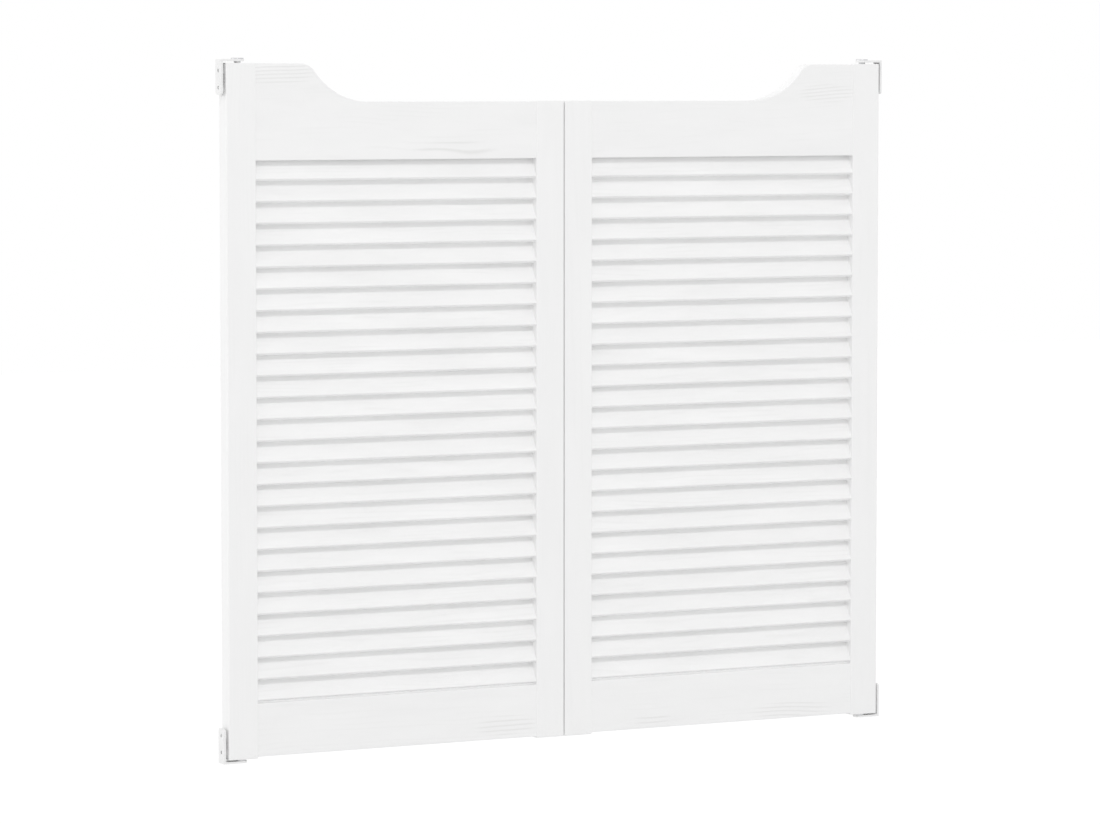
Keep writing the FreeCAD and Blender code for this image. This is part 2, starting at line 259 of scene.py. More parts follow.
print("floor: %.0f m wide, %.2f m below the doors" % (2 * FLOOR_HALF_SIZE, -FLOOR_HEIGHT))

# %% [markdown]
# ## Finishes
#
# Two effects are used by more than one finish, so each is a node group, built once.
#
# *Drawn lines* is noise stretched in one direction. Along a board it is fine wood fibre, round a turned
# pin it is the marks of the lathe tool. *Mottle* is soft cloudy noise, for paint that is never quite
# even, powder coat and moulded nylon. Both read Object coordinates, so a pattern stays on its piece.

# %% Build the shared node groups
LINES_SHOW_ABOVE = 0.40
LINES_FULL_ABOVE = 0.62
NOISE_MIDDLE = 0.5


def new_group(name, inputs):
    """Node group with named number or vector inputs, and one output, Value."""
    group = bpy.data.node_groups.new(name, "ShaderNodeTree")
    for label, kind, default in inputs:
        socket = group.interface.new_socket(label, in_out="INPUT", socket_type=kind)
        socket.default_value = default
    group.interface.new_socket("Value", in_out="OUTPUT", socket_type="NodeSocketFloat")
    return group, group.nodes.new("NodeGroupInput"), group.nodes.new("NodeGroupOutput")


def stretched_noise(group, source, scale_socket, detail):
    """4D noise on Object coordinates times a scale vector, so it can be drawn out one way."""
    coordinates = group.nodes.new("ShaderNodeTexCoord")
    stretched = group.nodes.new("ShaderNodeVectorMath")
    stretched.operation = "MULTIPLY"
    noise = group.nodes.new("ShaderNodeTexNoise")
    noise.noise_dimensions = "4D"
    noise.inputs["Scale"].default_value = 1.0
    noise.inputs["Detail"].default_value = detail
    group.links.new(coordinates.outputs["Object"], stretched.inputs[0])
    group.links.new(source.outputs[scale_socket], stretched.inputs[1])
    group.links.new(stretched.outputs[0], noise.inputs["Vector"])
    group.links.new(source.outputs["Seed"], noise.inputs["W"])
    return noise.outputs["Fac"]


def drawn_lines_group():
    """Fine lines about zero along one direction, broken up by a coarser noise drawn the same way."""
    group, source, output = new_group("Drawn_lines", [
        ("Scale", "NodeSocketVector", (60.0, 2500.0, 2500.0)),
        ("Patch scale", "NodeSocketVector", (12.0, 90.0, 90.0)),
        ("Seed", "NodeSocketFloat", 0.0)])
    fine = stretched_noise(group, source, "Scale", detail=3.0)
    patches = stretched_noise(group, source, "Patch scale", detail=1.0)
    strength = map_range(group, patches, (LINES_SHOW_ABOVE, LINES_FULL_ABOVE), (0.0, 1.0))
    centred = calculate(group, "SUBTRACT", fine, NOISE_MIDDLE)
    lines = calculate(group, "MULTIPLY", centred, strength)
    group.links.new(lines, output.inputs["Value"])
    return group


def mottle_group():
    """Cloudy noise from 0 to 1, about a middle of one half."""
    group, source, output = new_group("Mottle", [
        ("Scale", "NodeSocketVector", (20.0, 20.0, 20.0)),
        ("Seed", "NodeSocketFloat", 0.0)])
    clouds = stretched_noise(group, source, "Scale", detail=4.0)
    group.links.new(clouds, output.inputs["Value"])
    return group


drawn_lines = drawn_lines_group()
mottle = mottle_group()
print("groups:", [g.name for g in bpy.data.node_groups])

# %% [markdown]
# A finish is then a few small steps: a base colour that wanders between two near tones, a roughness
# that wanders too, and heights that feed a Bump node. The helpers below wire those steps. Mottle
# seldom leaves the range from 0.3 to 0.7, so that is the range they stretch over the two tones.

# %% Helpers that wire a finish
MOTTLE_RANGE = (0.3, 0.7)


def new_finish(name, metallic=0.0):
    """Material with only a Principled shader and its output."""
    material = bpy.data.materials.new(name)
    material.use_nodes = True
    shader = material.node_tree.nodes["Principled BSDF"]
    shader.inputs["Metallic"].default_value = metallic
    return material, shader


def place_group(material, group, seed, **scales):
    """Puts a shared group in a material with its own values, and returns its output."""
    node = material.node_tree.nodes.new("ShaderNodeGroup")
    node.node_tree = group
    node.inputs["Seed"].default_value = seed
    for label, value in scales.items():
        node.inputs[label.replace("_", " ").capitalize()].default_value = value
    return node.outputs[0]


def tone_between(material, shader, value, dark, light):
    """Base colour that runs from dark to light as mottle runs over its range. Returns its socket."""
    tree = material.node_tree
    ramp = tree.nodes.new("ShaderNodeValToRGB")
    for stop, position, tone in zip(ramp.color_ramp.elements, MOTTLE_RANGE, (dark, light)):
        stop.position = position
        stop.color = (*tone, 1)
    tree.links.new(value, ramp.inputs["Fac"])
    tree.links.new(ramp.outputs["Color"], shader.inputs["Base Color"])
    return ramp.outputs["Color"]


def roughness_between(material, shader, value, smooth, rough):
    """Roughness that runs from smooth to rough as mottle runs over its range."""
    tree = material.node_tree
    roughness = map_range(tree, value, MOTTLE_RANGE, (smooth, rough))
    tree.links.new(roughness, shader.inputs["Roughness"])


def add_bump(material, shader, value, depth):
    """Adds a height in metres, on top of any bump that is already there."""
    tree = material.node_tree
    bump = tree.nodes.new("ShaderNodeBump")
    bump.inputs["Distance"].default_value = depth
    tree.links.new(value, bump.inputs["Height"])
    earlier = shader.inputs["Normal"].links
    if earlier:
        tree.links.new(earlier[0].from_socket, bump.inputs["Normal"])
    tree.links.new(bump.outputs["Normal"], shader.inputs["Normal"])


# %% [markdown]
# ### Painted pine
#
# The paint is a plain satin white. What makes it wood and not plastic is what shows through: rings of
# late wood that stand proud (those are real geometry, further down) and carry a thinner, greyer coat,
# and fine fibre that only a bump can afford. Uprights have their fibre along Z and level boards along
# X. Stiles and rails are sanded smoother than the thin slats, so one recipe gives three finishes. The
# slats' white is also a shade lighter, and runs lighter still in streaks. That is painted light, for
# the light that their up-tilted faces catch.

# %% Mix the paint
PAINT_ON_RINGS = (0.780, 0.779, 0.776)
FIBRE_ALONG = 55.0
FIBRE_ACROSS = 1900.0
PATCH_ALONG = 9.0
PATCH_ACROSS = 75.0
STROKE_ALONG = 9.0
STROKE_ACROSS = 45.0
ORANGE_PEEL_SCALE = 420.0
ORANGE_PEEL_DEPTH = 0.00003
ORANGE_PEEL_SEED_STEP = 3


def along_grain(grain_axis, along, across):
    """Noise scale that is one number along the grain and another across it."""
    scale = [across] * 3
    scale[grain_axis] = along
    return scale


def tone_over_rings(material, shader, tone):
    """Base colour that leaves the given tone for PAINT_ON_RINGS where the mesh carries late wood."""
    tree = material.node_tree
    late_wood = tree.nodes.new("ShaderNodeAttribute")
    late_wood.attribute_name = "late_wood"
    blend = tree.nodes.new("ShaderNodeMix")
    blend.data_type = "RGBA"
    blend.inputs["B"].default_value = (*PAINT_ON_RINGS, 1)
    tree.links.new(late_wood.outputs["Fac"], blend.inputs["Factor"])
    tree.links.new(tone, blend.inputs["A"])
    tree.links.new(blend.outputs["Result"], shader.inputs["Base Color"])


def painted_pine(name, grain_axis, seed, dark, light, fibre_depth):
    """Satin white paint over pine whose fibre runs along the given axis (0 is X, 2 is Z).

    The white wanders from dark to light in long soft strokes.
    """
    material, shader = new_finish(name)
    fibre = place_group(material, drawn_lines, seed,
                        scale=along_grain(grain_axis, FIBRE_ALONG, FIBRE_ACROSS),
                        patch_scale=along_grain(grain_axis, PATCH_ALONG, PATCH_ACROSS))
    strokes = place_group(material, mottle, seed,
                          scale=along_grain(grain_axis, STROKE_ALONG, STROKE_ACROSS))
    orange_peel = place_group(material, mottle, seed + ORANGE_PEEL_SEED_STEP,
                              scale=[ORANGE_PEEL_SCALE] * 3)
    tone = tone_between(material, shader, strokes, dark=[dark] * 3, light=[light] * 3)
    tone_over_rings(material, shader, tone)
    roughness_between(material, shader, strokes, smooth=0.38, rough=0.48)
    add_bump(material, shader, orange_peel, ORANGE_PEEL_DEPTH)
    add_bump(material, shader, fibre, fibre_depth)
    return material


paint_on_stiles = painted_pine("Painted_pine_stiles", grain_axis=2, seed=1.0,
                               dark=0.858, light=0.876, fibre_depth=0.00015)
paint_on_rails = painted_pine("Painted_pine_rails", grain_axis=0, seed=7.0,
                              dark=0.853, light=0.877, fibre_depth=0.00018)
# The slats get a lighter copy of the white: painted light for the light their up-tilted faces catch.
slat_paint_with_painted_light = painted_pine("Painted_pine_slats_with_painted_light", grain_axis=0, seed=13.0,
                              dark=0.860, light=0.900, fibre_depth=0.00030)
print("paints:", [m.name for m in (paint_on_stiles, paint_on_rails, slat_paint_with_painted_light)])

# %% [markdown]
# ### Metal, nylon and beech
#
# These parts keep their CAD shape and get a finish each: powder-coated steel for the brackets, bright
# zinc on the turned pins, oiled wire for the springs, natural nylon for the bushes and bare beech for
# the dowels inside the joints.

# %% Coat the steel


def powder_coat():
    """White powder coat: an even colour and a fine orange-peel skin."""
    material, shader = new_finish("White_powder_coat")
    clouds = place_group(material, mottle, seed=11.0, scale=[60.0] * 3)
    skin = place_group(material, mottle, seed=12.0, scale=[1400.0] * 3)
    tone_between(material, shader, clouds, dark=(0.80, 0.80, 0.80), light=(0.83, 0.83, 0.83))
    roughness_between(material, shader, skin, smooth=0.40, rough=0.50)
    add_bump(material, shader, skin, depth=0.00006)
    return material


def turned_zinc():
    """Zinc plate over turned steel: tool marks ring the pin, level and close together."""
    material, shader = new_finish("Turned_zinc_plate", metallic=1.0)
    marks = place_group(material, drawn_lines, seed=21.0, scale=(70.0, 70.0, 5200.0),
                        patch_scale=(30.0, 30.0, 300.0))
    clouds = place_group(material, mottle, seed=22.0, scale=[240.0] * 3)
    tone_between(material, shader, clouds, dark=(0.58, 0.58, 0.60), light=(0.70, 0.70, 0.71))
    roughness_between(material, shader, clouds, smooth=0.26, rough=0.40)
    add_bump(material, shader, marks, depth=0.00008)
    return material


def oiled_wire():
    """Dark drawn spring wire with a film of oil."""
    material, shader = new_finish("Oiled_spring_wire", metallic=1.0)
    clouds = place_group(material, mottle, seed=31.0, scale=[500.0] * 3)
    tone_between(material, shader, clouds, dark=(0.20, 0.20, 0.21), light=(0.33, 0.33, 0.34))
    roughness_between(material, shader, clouds, smooth=0.22, rough=0.38)
    add_bump(material, shader, clouds, depth=0.00004)
    return material


finish_of = {"bracket": powder_coat(), "pivot_pin": turned_zinc(), "return_spring": oiled_wire()}
print("steel finishes:", [m.name for m in finish_of.values()])

# %% Finish the nylon and the beech, and hand the finishes out


def natural_nylon():
    """Moulded nylon: creamy, a little waxy."""
    material, shader = new_finish("Natural_nylon")
    shader.inputs["Roughness"].default_value = 0.48
    shader.inputs["Subsurface Weight"].default_value = 0.15
    shader.inputs["Subsurface Scale"].default_value = 0.002
    clouds = place_group(material, mottle, seed=41.0, scale=[180.0] * 3)
    tone_between(material, shader, clouds, dark=(0.72, 0.70, 0.63), light=(0.80, 0.79, 0.73))
    add_bump(material, shader, clouds, depth=0.00004)
    return material


def bare_beech():
    """Beech with its fibre along the dowel."""
    material, shader = new_finish("Bare_beech")
    shader.inputs["Roughness"].default_value = 0.62
    fibre = place_group(material, drawn_lines, seed=51.0, scale=(90.0, 2600.0, 2600.0),
                        patch_scale=(40.0, 300.0, 300.0))
    clouds = place_group(material, mottle, seed=52.0, scale=(60.0, 900.0, 900.0))
    tone_between(material, shader, clouds, dark=(0.52, 0.33, 0.17), light=(0.66, 0.46, 0.27))
    add_bump(material, shader, fibre, depth=0.00012)
    return material


finish_of.update({"bush": natural_nylon(), "dowels": bare_beech()})
finished = 0
for name, node in nodes.items():
    for ending, material in finish_of.items():
        if name.endswith(ending):
            finished += 1
            for slot in node.material_slots:
                slot.material = material
print("CAD parts with a finish:", finished)

# %% [markdown]
# ## Making boards with numpy
#
# Every wooden piece here is a *skin over rings*: a row of closed loops, each with the same number of
# points, and quads between one loop and the next. A stile is one loop carried upwards. Its loops shrink
# at the ends, which rounds them, and go on shrinking to a point, which closes them.
#
# Blender has other ways, such as a Bevel on a box. A skin is chosen because we know every point's place
# along and across the board, and that is what we need to raise the grain in real geometry.

# %% Number the faces of a skin


def skin_faces(rows, count):
    """Quads between loops, and a fan of triangles at each end round its pole.

    Point k of loop j has number j * count + k. The two poles come last.
    """
    j, k = np.meshgrid(np.arange(rows - 1), np.arange(count), indexing="ij")
    after = (k + 1) % count
    quads = np.stack([j * count + k, j * count + after,
                      (j + 1) * count + after, (j + 1) * count + k], axis=-1).reshape(-1, 4)
    ring = np.arange(count)
    first, last = rows * count, rows * count + 1
    start = np.stack([np.full(count, first), np.roll(ring, -1), ring], axis=-1)
    top = (rows - 1) * count
    end = np.stack([np.full(count, last), top + ring, top + np.roll(ring, -1)], axis=-1)
    return quads, np.vstack([start, end])


def signed_volume(points, quads, triangles):
    """Sum of the tetrahedra from the origin to each triangle: positive if faces point outwards."""
    tris = np.vstack([quads[:, :3], quads[:, [0, 2, 3]], triangles])
    a, b, c = points[tris[:, 0]], points[tris[:, 1]], points[tris[:, 2]]
    return np.einsum("ij,ij->i", a, np.cross(b, c)).sum() / 6


quads, triangles = skin_faces(rows=3, count=4)
print("a skin of 3 loops with 4 points each:", len(quads), "quads and", len(triangles), "triangles")

# %% Turn skins into a mesh
SHARP_ABOVE_DEG = 50


def mesh_from_skins(name, skins):
    """Closed mesh over one or more rows of loops, with the late wood as a vertex attribute.

    Each skin is its loops and the late-wood value at each of their points.
    """
    points, faces, values, first = [], [], [], 0
    for loops, late_wood in skins:
        rows, count, _ = loops.shape
        poles = np.stack([loops[0].mean(axis=0), loops[-1].mean(axis=0)])
        own_points = np.vstack([loops.reshape(-1, 3), poles])
        quads, triangles = skin_faces(rows, count)
        if signed_volume(own_points, quads, triangles) < 0:
            quads, triangles = quads[:, ::-1], triangles[:, ::-1]
        points.append(own_points)
        faces += (quads + first).tolist() + (triangles + first).tolist()
        values.append(np.append(late_wood.reshape(-1), (0.0, 0.0)))
        first += len(own_points)
    mesh = bpy.data.meshes.new(name)
    mesh.from_pydata(np.vstack(points).tolist(), [], faces)
    mesh.polygons.foreach_set("use_smooth", np.ones(len(mesh.polygons), dtype=bool))
    mesh.set_sharp_from_angle(angle=math.radians(SHARP_ABOVE_DEG))
    attribute = mesh.attributes.new("late_wood", "FLOAT", "POINT")
    attribute.data.foreach_set("value", np.concatenate(values).astype(np.float32))
    mesh.update()
    return mesh


# %% [markdown]
# ### Year rings
#
# A board is a slice of a trunk, so its grain is the trunk's rings cut by its faces. A ring is a circle
# round the pith, and the pith wanders a little along the trunk. We give each board its own pith, near
# or far, measure how far each point of its skin lies from it, and raise the skin where that distance
# falls on late wood. Ends, edges and faces then agree with each other, as in real timber.

# %% Grow the year rings
RING_SPACING = 0.0042
PITH_ANGLES = (0.15, 1.2)   # radians from straight behind the board
PITH_DISTANCES = (0.05, 0.14)
PITH_DRIFT = 0.004
PITH_DRIFT_LENGTH = 0.55
LARGEST_TAPER = 0.02
WAVINESS = 0.12
WAVINESS_LENGTHS = [0.14, 0.03]
LATE_WOOD_PLACE = 0.8
LATE_WOOD_WIDTH = 0.15
FADE_LENGTHS = [0.16, 0.03]
FADE_RANGE = (-0.2, 1.2)


def smooth_step(value, low, high):
    """0 below low, 1 above high, and 3t^2 - 2t^3 in between, where t is the share of the way."""
    t = np.clip((value - low) / (high - low), 0.0, 1.0)
    return t * t * (3 - 2 * t)


def waves(rng, lengths, count=5):
    """Smooth random function of board coordinates: a sum of sines of about these wavelengths."""
    rates = rng.normal(size=(count, len(lengths))) / np.array(lengths)
    shifts = rng.uniform(0, 2 * math.pi, count)

    def value(*coordinates):
        total = sum(np.sin(2 * math.pi * sum(r * c for r, c in zip(rate, coordinates)) + shift)
                    for rate, shift in zip(rates, shifts))
        return total / math.sqrt(count)
    return value


def year_rings(along, across, deep, rng, strength, bold=0.0):
    """Late wood, from 0 to 1, at points given along, across and through a board.

    Distance from a wandering pith, divided by the ring spacing, gives the age. Late wood is the
    narrow band where the age is just short of a whole number. It fades in and out along the board, up
    to the given strength, and shows in full where bold is 1.
    """
    pith_angle = rng.uniform(*PITH_ANGLES) * rng.choice([-1, 1])
    pith_distance = rng.uniform(*PITH_DISTANCES)
    drift = waves(rng, [PITH_DRIFT_LENGTH])
    taper = rng.uniform(-LARGEST_TAPER, LARGEST_TAPER)
    side = across - pith_distance * math.sin(pith_angle) - PITH_DRIFT * drift(along)
    depth = deep - pith_distance * math.cos(pith_angle) - taper * along
    age = np.hypot(side, depth) / RING_SPACING + WAVINESS * waves(rng, WAVINESS_LENGTHS)(along, across)
    part = age - np.floor(age)
    band = np.exp(-((part - LATE_WOOD_PLACE) / LATE_WOOD_WIDTH) ** 2)
    showing = smooth_step(waves(rng, FADE_LENGTHS)(along, across), *FADE_RANGE)
    return band * np.maximum(strength * showing, bold)


places = np.linspace(0.0, 0.1, 1000)
sample = year_rings(0.0, places, 0.0, np.random.default_rng(0), strength=1.0, bold=1.0)
print("late wood on 100 mm across a sample board: %.0f %%" % (100 * np.mean(sample > 0.5)))

# %% Raise the grain
RING_RELIEF = 0.00012
SMALLEST_LENGTH = 1e-12   # so that no length of zero is divided by


def grid_normals(loops):
    """Unit normals of a grid of points: the cross product of its two directions.

    Around a loop the neighbours wrap. Along the rows the first and last use one side only.
    """
    around = np.roll(loops, -1, axis=1) - np.roll(loops, 1, axis=1)
    along = np.gradient(loops, axis=0)
    normals = np.cross(around, along)
    length = np.linalg.norm(normals, axis=2, keepdims=True)
    return normals / np.maximum(length, SMALLEST_LENGTH)


def raise_grain(loops, late_wood):
    """Moves the skin out along its normals by the relief of the late wood."""
    outward = grid_normals(loops)
    middle = loops.mean(axis=(0, 1))
    if np.einsum("ijk,ijk->", outward, loops - middle) < 0:
        outward = -outward
    return loops + outward * (late_wood * RING_RELIEF)[..., None]


print("the boldest rings stand %.2f mm proud" % (1000 * RING_RELIEF))

# %% [markdown]
# ### Sections and stations
#
# The section of a stile or rail is a rectangle whose corners are eased. Its points are dense enough
# across the grain to carry the rings. Along the grain the stations can be far apart.

# %% Draw the section of a board
ACROSS_STEP = 0.00065
ALONG_STEP = 0.008
ARRIS_STEPS = 5
STILE_ARRIS = 0.0015


def rounded_section(half_a, half_b, radius, step=ACROSS_STEP):
    """Closed loop round a rectangle with eased corners, and the outward normal at each point.

    Four corners in turn: a quarter circle of the given radius, then the straight run to the next.
    """
    points, normals = [], []
    corners = [(1, 1), (-1, 1), (-1, -1), (1, -1)]
    for turn, (sign_a, sign_b) in enumerate(corners):
        angles = math.pi / 2 * (turn + np.arange(ARRIS_STEPS) / ARRIS_STEPS)
        normal = np.stack([np.cos(angles), np.sin(angles)], axis=-1)
        centre = np.array([sign_a * (half_a - radius), sign_b * (half_b - radius)])
        points.append(centre + radius * normal)
        normals.append(normal)
        flat = 2 * ((half_a, half_b)[turn % 2] - radius)
        pieces = max(int(round(flat / step)), 1)
        end_angle = math.pi / 2 * (turn + 1)
        end_normal = np.array([math.cos(end_angle), math.sin(end_angle)])
        onwards = np.array([-end_normal[1], end_normal[0]])
        places = np.arange(pieces) / pieces * flat
        points.append(centre + radius * end_normal + places[:, None] * onwards)
        normals.append(np.repeat(end_normal[None], pieces, axis=0))
    return np.vstack(points), np.vstack(normals)


def stations_between(start, end, step=ALONG_STEP):
    """Evenly spaced places along a board, both ends included."""
    return np.linspace(start, end, max(int(round(abs(end - start) / step)), 1) + 1)


width, thickness, length = nodes["left_hinge_stile"].dimensions
section, _ = rounded_section(width / 2, thickness / 2, STILE_ARRIS)
print("points round a stile:", len(section), "and stations along it:", len(stations_between(0, length)))

# %% [markdown]
# ## Stiles
#
# The two uprights of each leaf. Real ones are planed square, their edges are eased with sandpaper, and
# the paint closes the joints of the slats. The outer stile also has a round recess in each end for a
# nylon bush, so there the loops go on from the eased rim to a circle and down into the wood.

# %% Close the ends of a stile
END_ARRIS = 0.0012
CAP_RINGS = 8
SMALLEST_CAP_SHARE = 0.0025
BUSH_RECESS_RADIUS = 0.00805
BUSH_RECESS_DEPTH = 0.0015
PIVOT_BORE_RADIUS = 0.00725
SMALLEST_BORE_RING = 0.0001


def eased_end(points, normals, radius, end, outward):
    """Loops that round the rim of a board's end: inset r(1 - cos a), height r sin a short of the end.

    outward is 1 for a top end and -1 for a bottom end. The loops run from the side to the end face.
    """
    angles = np.linspace(0, math.pi / 2, ARRIS_STEPS + 1)[1:]
    loops = []
    for angle in angles:
        flat = points - normals * radius * (1 - math.cos(angle))
        height = end - outward * radius * (1 - math.sin(angle))
        loops.append(np.column_stack([flat, np.full(len(flat), height)]))
    return loops


def closed_end(rim):
    """Loops that shrink an end face evenly to a speck. The pole closes the rest."""
    middle = rim.mean(axis=0)
    shares = np.linspace(1, SMALLEST_CAP_SHARE, CAP_RINGS + 1)[1:]
    return [middle + (rim - middle) * share for share in shares]


def bored_end(rim, inward, depth):
    """Loops from the rim of an end face to the bush's recess, and down its bore to the bottom.

    Each point goes to the point of the circle that lies in the same direction from the middle.
    """
    middle = rim.mean(axis=0)
    spokes = rim - middle
    spokes = spokes / np.linalg.norm(spokes, axis=1, keepdims=True)
    lift = np.array([0.0, 0.0, inward])
    mouth = middle + spokes * BUSH_RECESS_RADIUS
    loops = [rim + (mouth - rim) * share for share in np.linspace(0, 1, CAP_RINGS + 1)[1:]]
    loops.append(mouth + lift * BUSH_RECESS_DEPTH)
    bore = middle + spokes * PIVOT_BORE_RADIUS
    loops.append(bore + lift * BUSH_RECESS_DEPTH)
    loops.append(bore + lift * depth)
    loops.append(middle + spokes * SMALLEST_BORE_RING + lift * depth)
    return loops


print("loops on a plain end:", ARRIS_STEPS + CAP_RINGS)

# %% Carry the stiles upwards
BOTTOM_BORE_DEPTH = 0.012
TOP_BORE_DEPTH = 0.040
GRAIN_ON_STILES = 0.12
SIDES = ("left", "right")
BOARD_SEEDS = range(100, 400)


def stile_loops(low, high, bored):
    """Loops of a stile between two corners of its box, from its lower pole to its upper pole.

    The second result has a number for each loop: 0 inside a bore, where no grain shows, and else 1.
    """
    centre = (np.array(low) + np.array(high)) / 2
    half = (np.array(high) - np.array(low)) / 2
    points, normals = rounded_section(half[0], half[1], STILE_ARRIS)
    points = points + centre[:2]
    heights = stations_between(low[2] + END_ARRIS, high[2] - END_ARRIS)
    body = [np.column_stack([points, np.full(len(points), z)]) for z in heights]
    bottom = eased_end(points, normals, END_ARRIS, low[2], -1)
    top = eased_end(points, normals, END_ARRIS, high[2], 1)
    if bored:
        under = bored_end(bottom[-1], 1, BOTTOM_BORE_DEPTH)
        over = bored_end(top[-1], -1, TOP_BORE_DEPTH)
    else:
        under, over = closed_end(bottom[-1]), closed_end(top[-1])
    loops = (bottom + under)[::-1] + body + top + over
    shown = np.ones(len(loops))
    shown[:len(under) - CAP_RINGS] = 0
    shown[len(loops) - (len(over) - CAP_RINGS):] = 0
    return np.array(loops), shown


def make_piece(name, mesh, material, body, replaced):
    """Puts a mesh in the scene at the origin, to stand for CAD parts and ride on their body."""
    mesh.materials.append(material)
    piece = bpy.data.objects.new(name, mesh)
    scene.collection.objects.link(piece)
    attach(piece, body)
    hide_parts(*replaced)


seeds = iter(BOARD_SEEDS)
for side in SIDES:
    for part, bored in (("hinge_stile", True), ("meeting_stile", False)):
        node = "%s_%s" % (side, part)
        low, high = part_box(node)
        loops, shown = stile_loops(low, high, bored)
        middle = (np.array(low) + np.array(high)) / 2
        rng = np.random.default_rng(next(seeds))
        late = year_rings(loops[..., 2] - middle[2], loops[..., 0] - middle[0], loops[..., 1], rng,
                          GRAIN_ON_STILES) * shown[:, None]
        skin = (raise_grain(loops, late), late)
        mesh = mesh_from_skins("Painted_" + node, [skin])
        make_piece("Painted_" + node, mesh, paint_on_stiles, side + "_leaf", [node])
        print(node, "faces:", len(mesh.polygons))

# %% [markdown]
# ## Rails
#
# The bottom rail is a plain board between the stiles. The top rail gives the doors their outline: a
# high shoulder beside the outer stile, a round crest, and a long hollow that runs out into the low edge.

# %% Describe the top edge
SWEEP_END = 0.1855
SWEEP_RADIUS = 0.087
CREST_RADIUS = 0.023


def top_edge(from_outer_edge, shoulder, low_edge):
    """Height of the top edge at a distance from the leaf's outer edge, and its slope there.

    The crest is a circle that leaves the shoulder level, so its height is z + sqrt(r^2 - x^2) about
    its centre. The hollow is a circle that runs out level into the low edge, z - sqrt(R^2 - x^2).
    They meet on the line between their centres.
    """
    hollow_z = low_edge + SWEEP_RADIUS
    crest_z = shoulder - CREST_RADIUS
    reach = SWEEP_RADIUS + CREST_RADIUS
    run = math.sqrt(reach ** 2 - (hollow_z - crest_z) ** 2)
    crest_start = SWEEP_END - run
    meeting = crest_start + CREST_RADIUS * run / reach
    past_crest = np.clip(from_outer_edge - crest_start, 0, CREST_RADIUS * run / reach)
    before_end = np.clip(SWEEP_END - from_outer_edge, 0, SWEEP_RADIUS * run / reach)
    crest_root = np.sqrt(CREST_RADIUS ** 2 - past_crest ** 2)
    hollow_root = np.sqrt(SWEEP_RADIUS ** 2 - before_end ** 2)
    on_crest = from_outer_edge < meeting
    height = np.where(on_crest, crest_z + crest_root, hollow_z - hollow_root)
    slope = -np.where(on_crest, past_crest / crest_root, before_end / hollow_root)
    return height, slope


print("the sweep ends %.1f mm from the leaf's outer edge" % (1000 * SWEEP_END))

# %% [markdown]
# Paint gathers in an inside corner. Where a rail or a slat meets a stile, its last fraction of a
# millimetre flares out in a quarter circle, which is the fillet that wet paint leaves.

# %% Leave a paint fillet
PAINT_FILLET = 0.0006
FILLET_STATIONS = np.array([0.0, 0.08, 0.25, 0.5, 0.75, 1.0])


def fillet_offset(distance):
    """Height of a paint fillet at a distance from the corner: r - sqrt(r^2 - (r - d)^2)."""
    left = np.clip(PAINT_FILLET - distance, 0.0, PAINT_FILLET)
    return PAINT_FILLET - np.sqrt(PAINT_FILLET ** 2 - left ** 2)


def stations_with_fillets(start, end, step):
    """Places along a board, closer together in the paint fillet at each end."""
    near = PAINT_FILLET * FILLET_STATIONS
    middle = stations_between(start + 2 * PAINT_FILLET, end - 2 * PAINT_FILLET, step)
    return np.concatenate([start + near, middle, (end - near)[::-1]])


print("fillet in mm:", np.round(1000 * fillet_offset(PAINT_FILLET * FILLET_STATIONS), 3).tolist())

# %% [markdown]
# Both rails are made by the same skin, carried along X. Every loop of the top rail stands on the bottom
# edge and reaches up to the curve. Its eased corners lean with the curve's own normal, so that they
# keep their radius on the steep part.

# %% Fit the loops under the top edge
RAIL_ARRIS = 0.001
FLARE_FADES = (-0.9, -0.1)


def rail_loops(low, high, tops, slopes, stations, filleted_side):
    """Loops of a rail, one at each station along X, under a top edge of given heights and slopes.

    Each loop starts as an eased rectangle as tall as the rail's box. Its straight sides are stretched
    to reach from the bottom edge to the curve, and its upper rim is laid out along the curve's normal.
    filleted_side is 1 if the top edge is an inside corner with the stiles, and -1 if the bottom is.
    The fillet fades out on the way to the other edge.
    """
    half_height = (high[2] - low[2]) / 2
    section, normals = rounded_section((high[1] - low[1]) / 2, half_height, RAIL_ARRIS)
    straight = half_height - RAIL_ARRIS
    share = np.clip((section[:, 1] + straight) / (2 * straight), 0, 1)
    rim = np.clip(section[:, 1] - straight, 0, None)
    foot = np.clip(section[:, 1] + straight, None, 0)
    normal = np.stack([-slopes, np.ones_like(slopes)], axis=-1)
    normal = normal / np.linalg.norm(normal, axis=1, keepdims=True)
    base = low[2] + RAIL_ARRIS
    inner_top = tops - RAIL_ARRIS * normal[:, 1]
    x = stations[:, None] + normal[:, :1] * (rim - RAIL_ARRIS * share)
    z = base + share * (inner_top - base)[:, None] + normal[:, 1:] * rim + foot
    y = np.broadcast_to(section[:, 0], x.shape)
    loops = np.stack([x, y, z], axis=-1)
    distance = np.minimum(stations - low[0], high[0] - stations)
    in_corner = smooth_step(filleted_side * normals[:, 1], *FLARE_FADES)
    flare = fillet_offset(distance)[:, None] * in_corner
    loops[..., 1] += flare * normals[:, 0]
    loops[..., 2] += flare * normals[:, 1]
    return loops


# %% [markdown]
# A few places on the rails show bolder grain than the rest, as where a board was cut close to a knot.
# Each is an ellipse on the rail's face, in which the rings show in full.

# %% Mark the bold grain
BOLD_CORE = 0.6
BOLD_RIM = 1.1
BOLD_GRAIN = {   # from the leaf's outer edge, above the rail's base, half length, half height
    "left_top_rail": [(0.068, 0.104, 0.055, 0.017), (0.300, 0.010, 0.058, 0.014)],
    "left_bottom_rail": [(0.370, 0.016, 0.045, 0.014)],
    "right_top_rail": [(0.075, 0.078, 0.045, 0.013)],
    "right_bottom_rail": [(0.325, 0.010, 0.030, 0.008), (0.126, 0.010, 0.062, 0.012)],
}


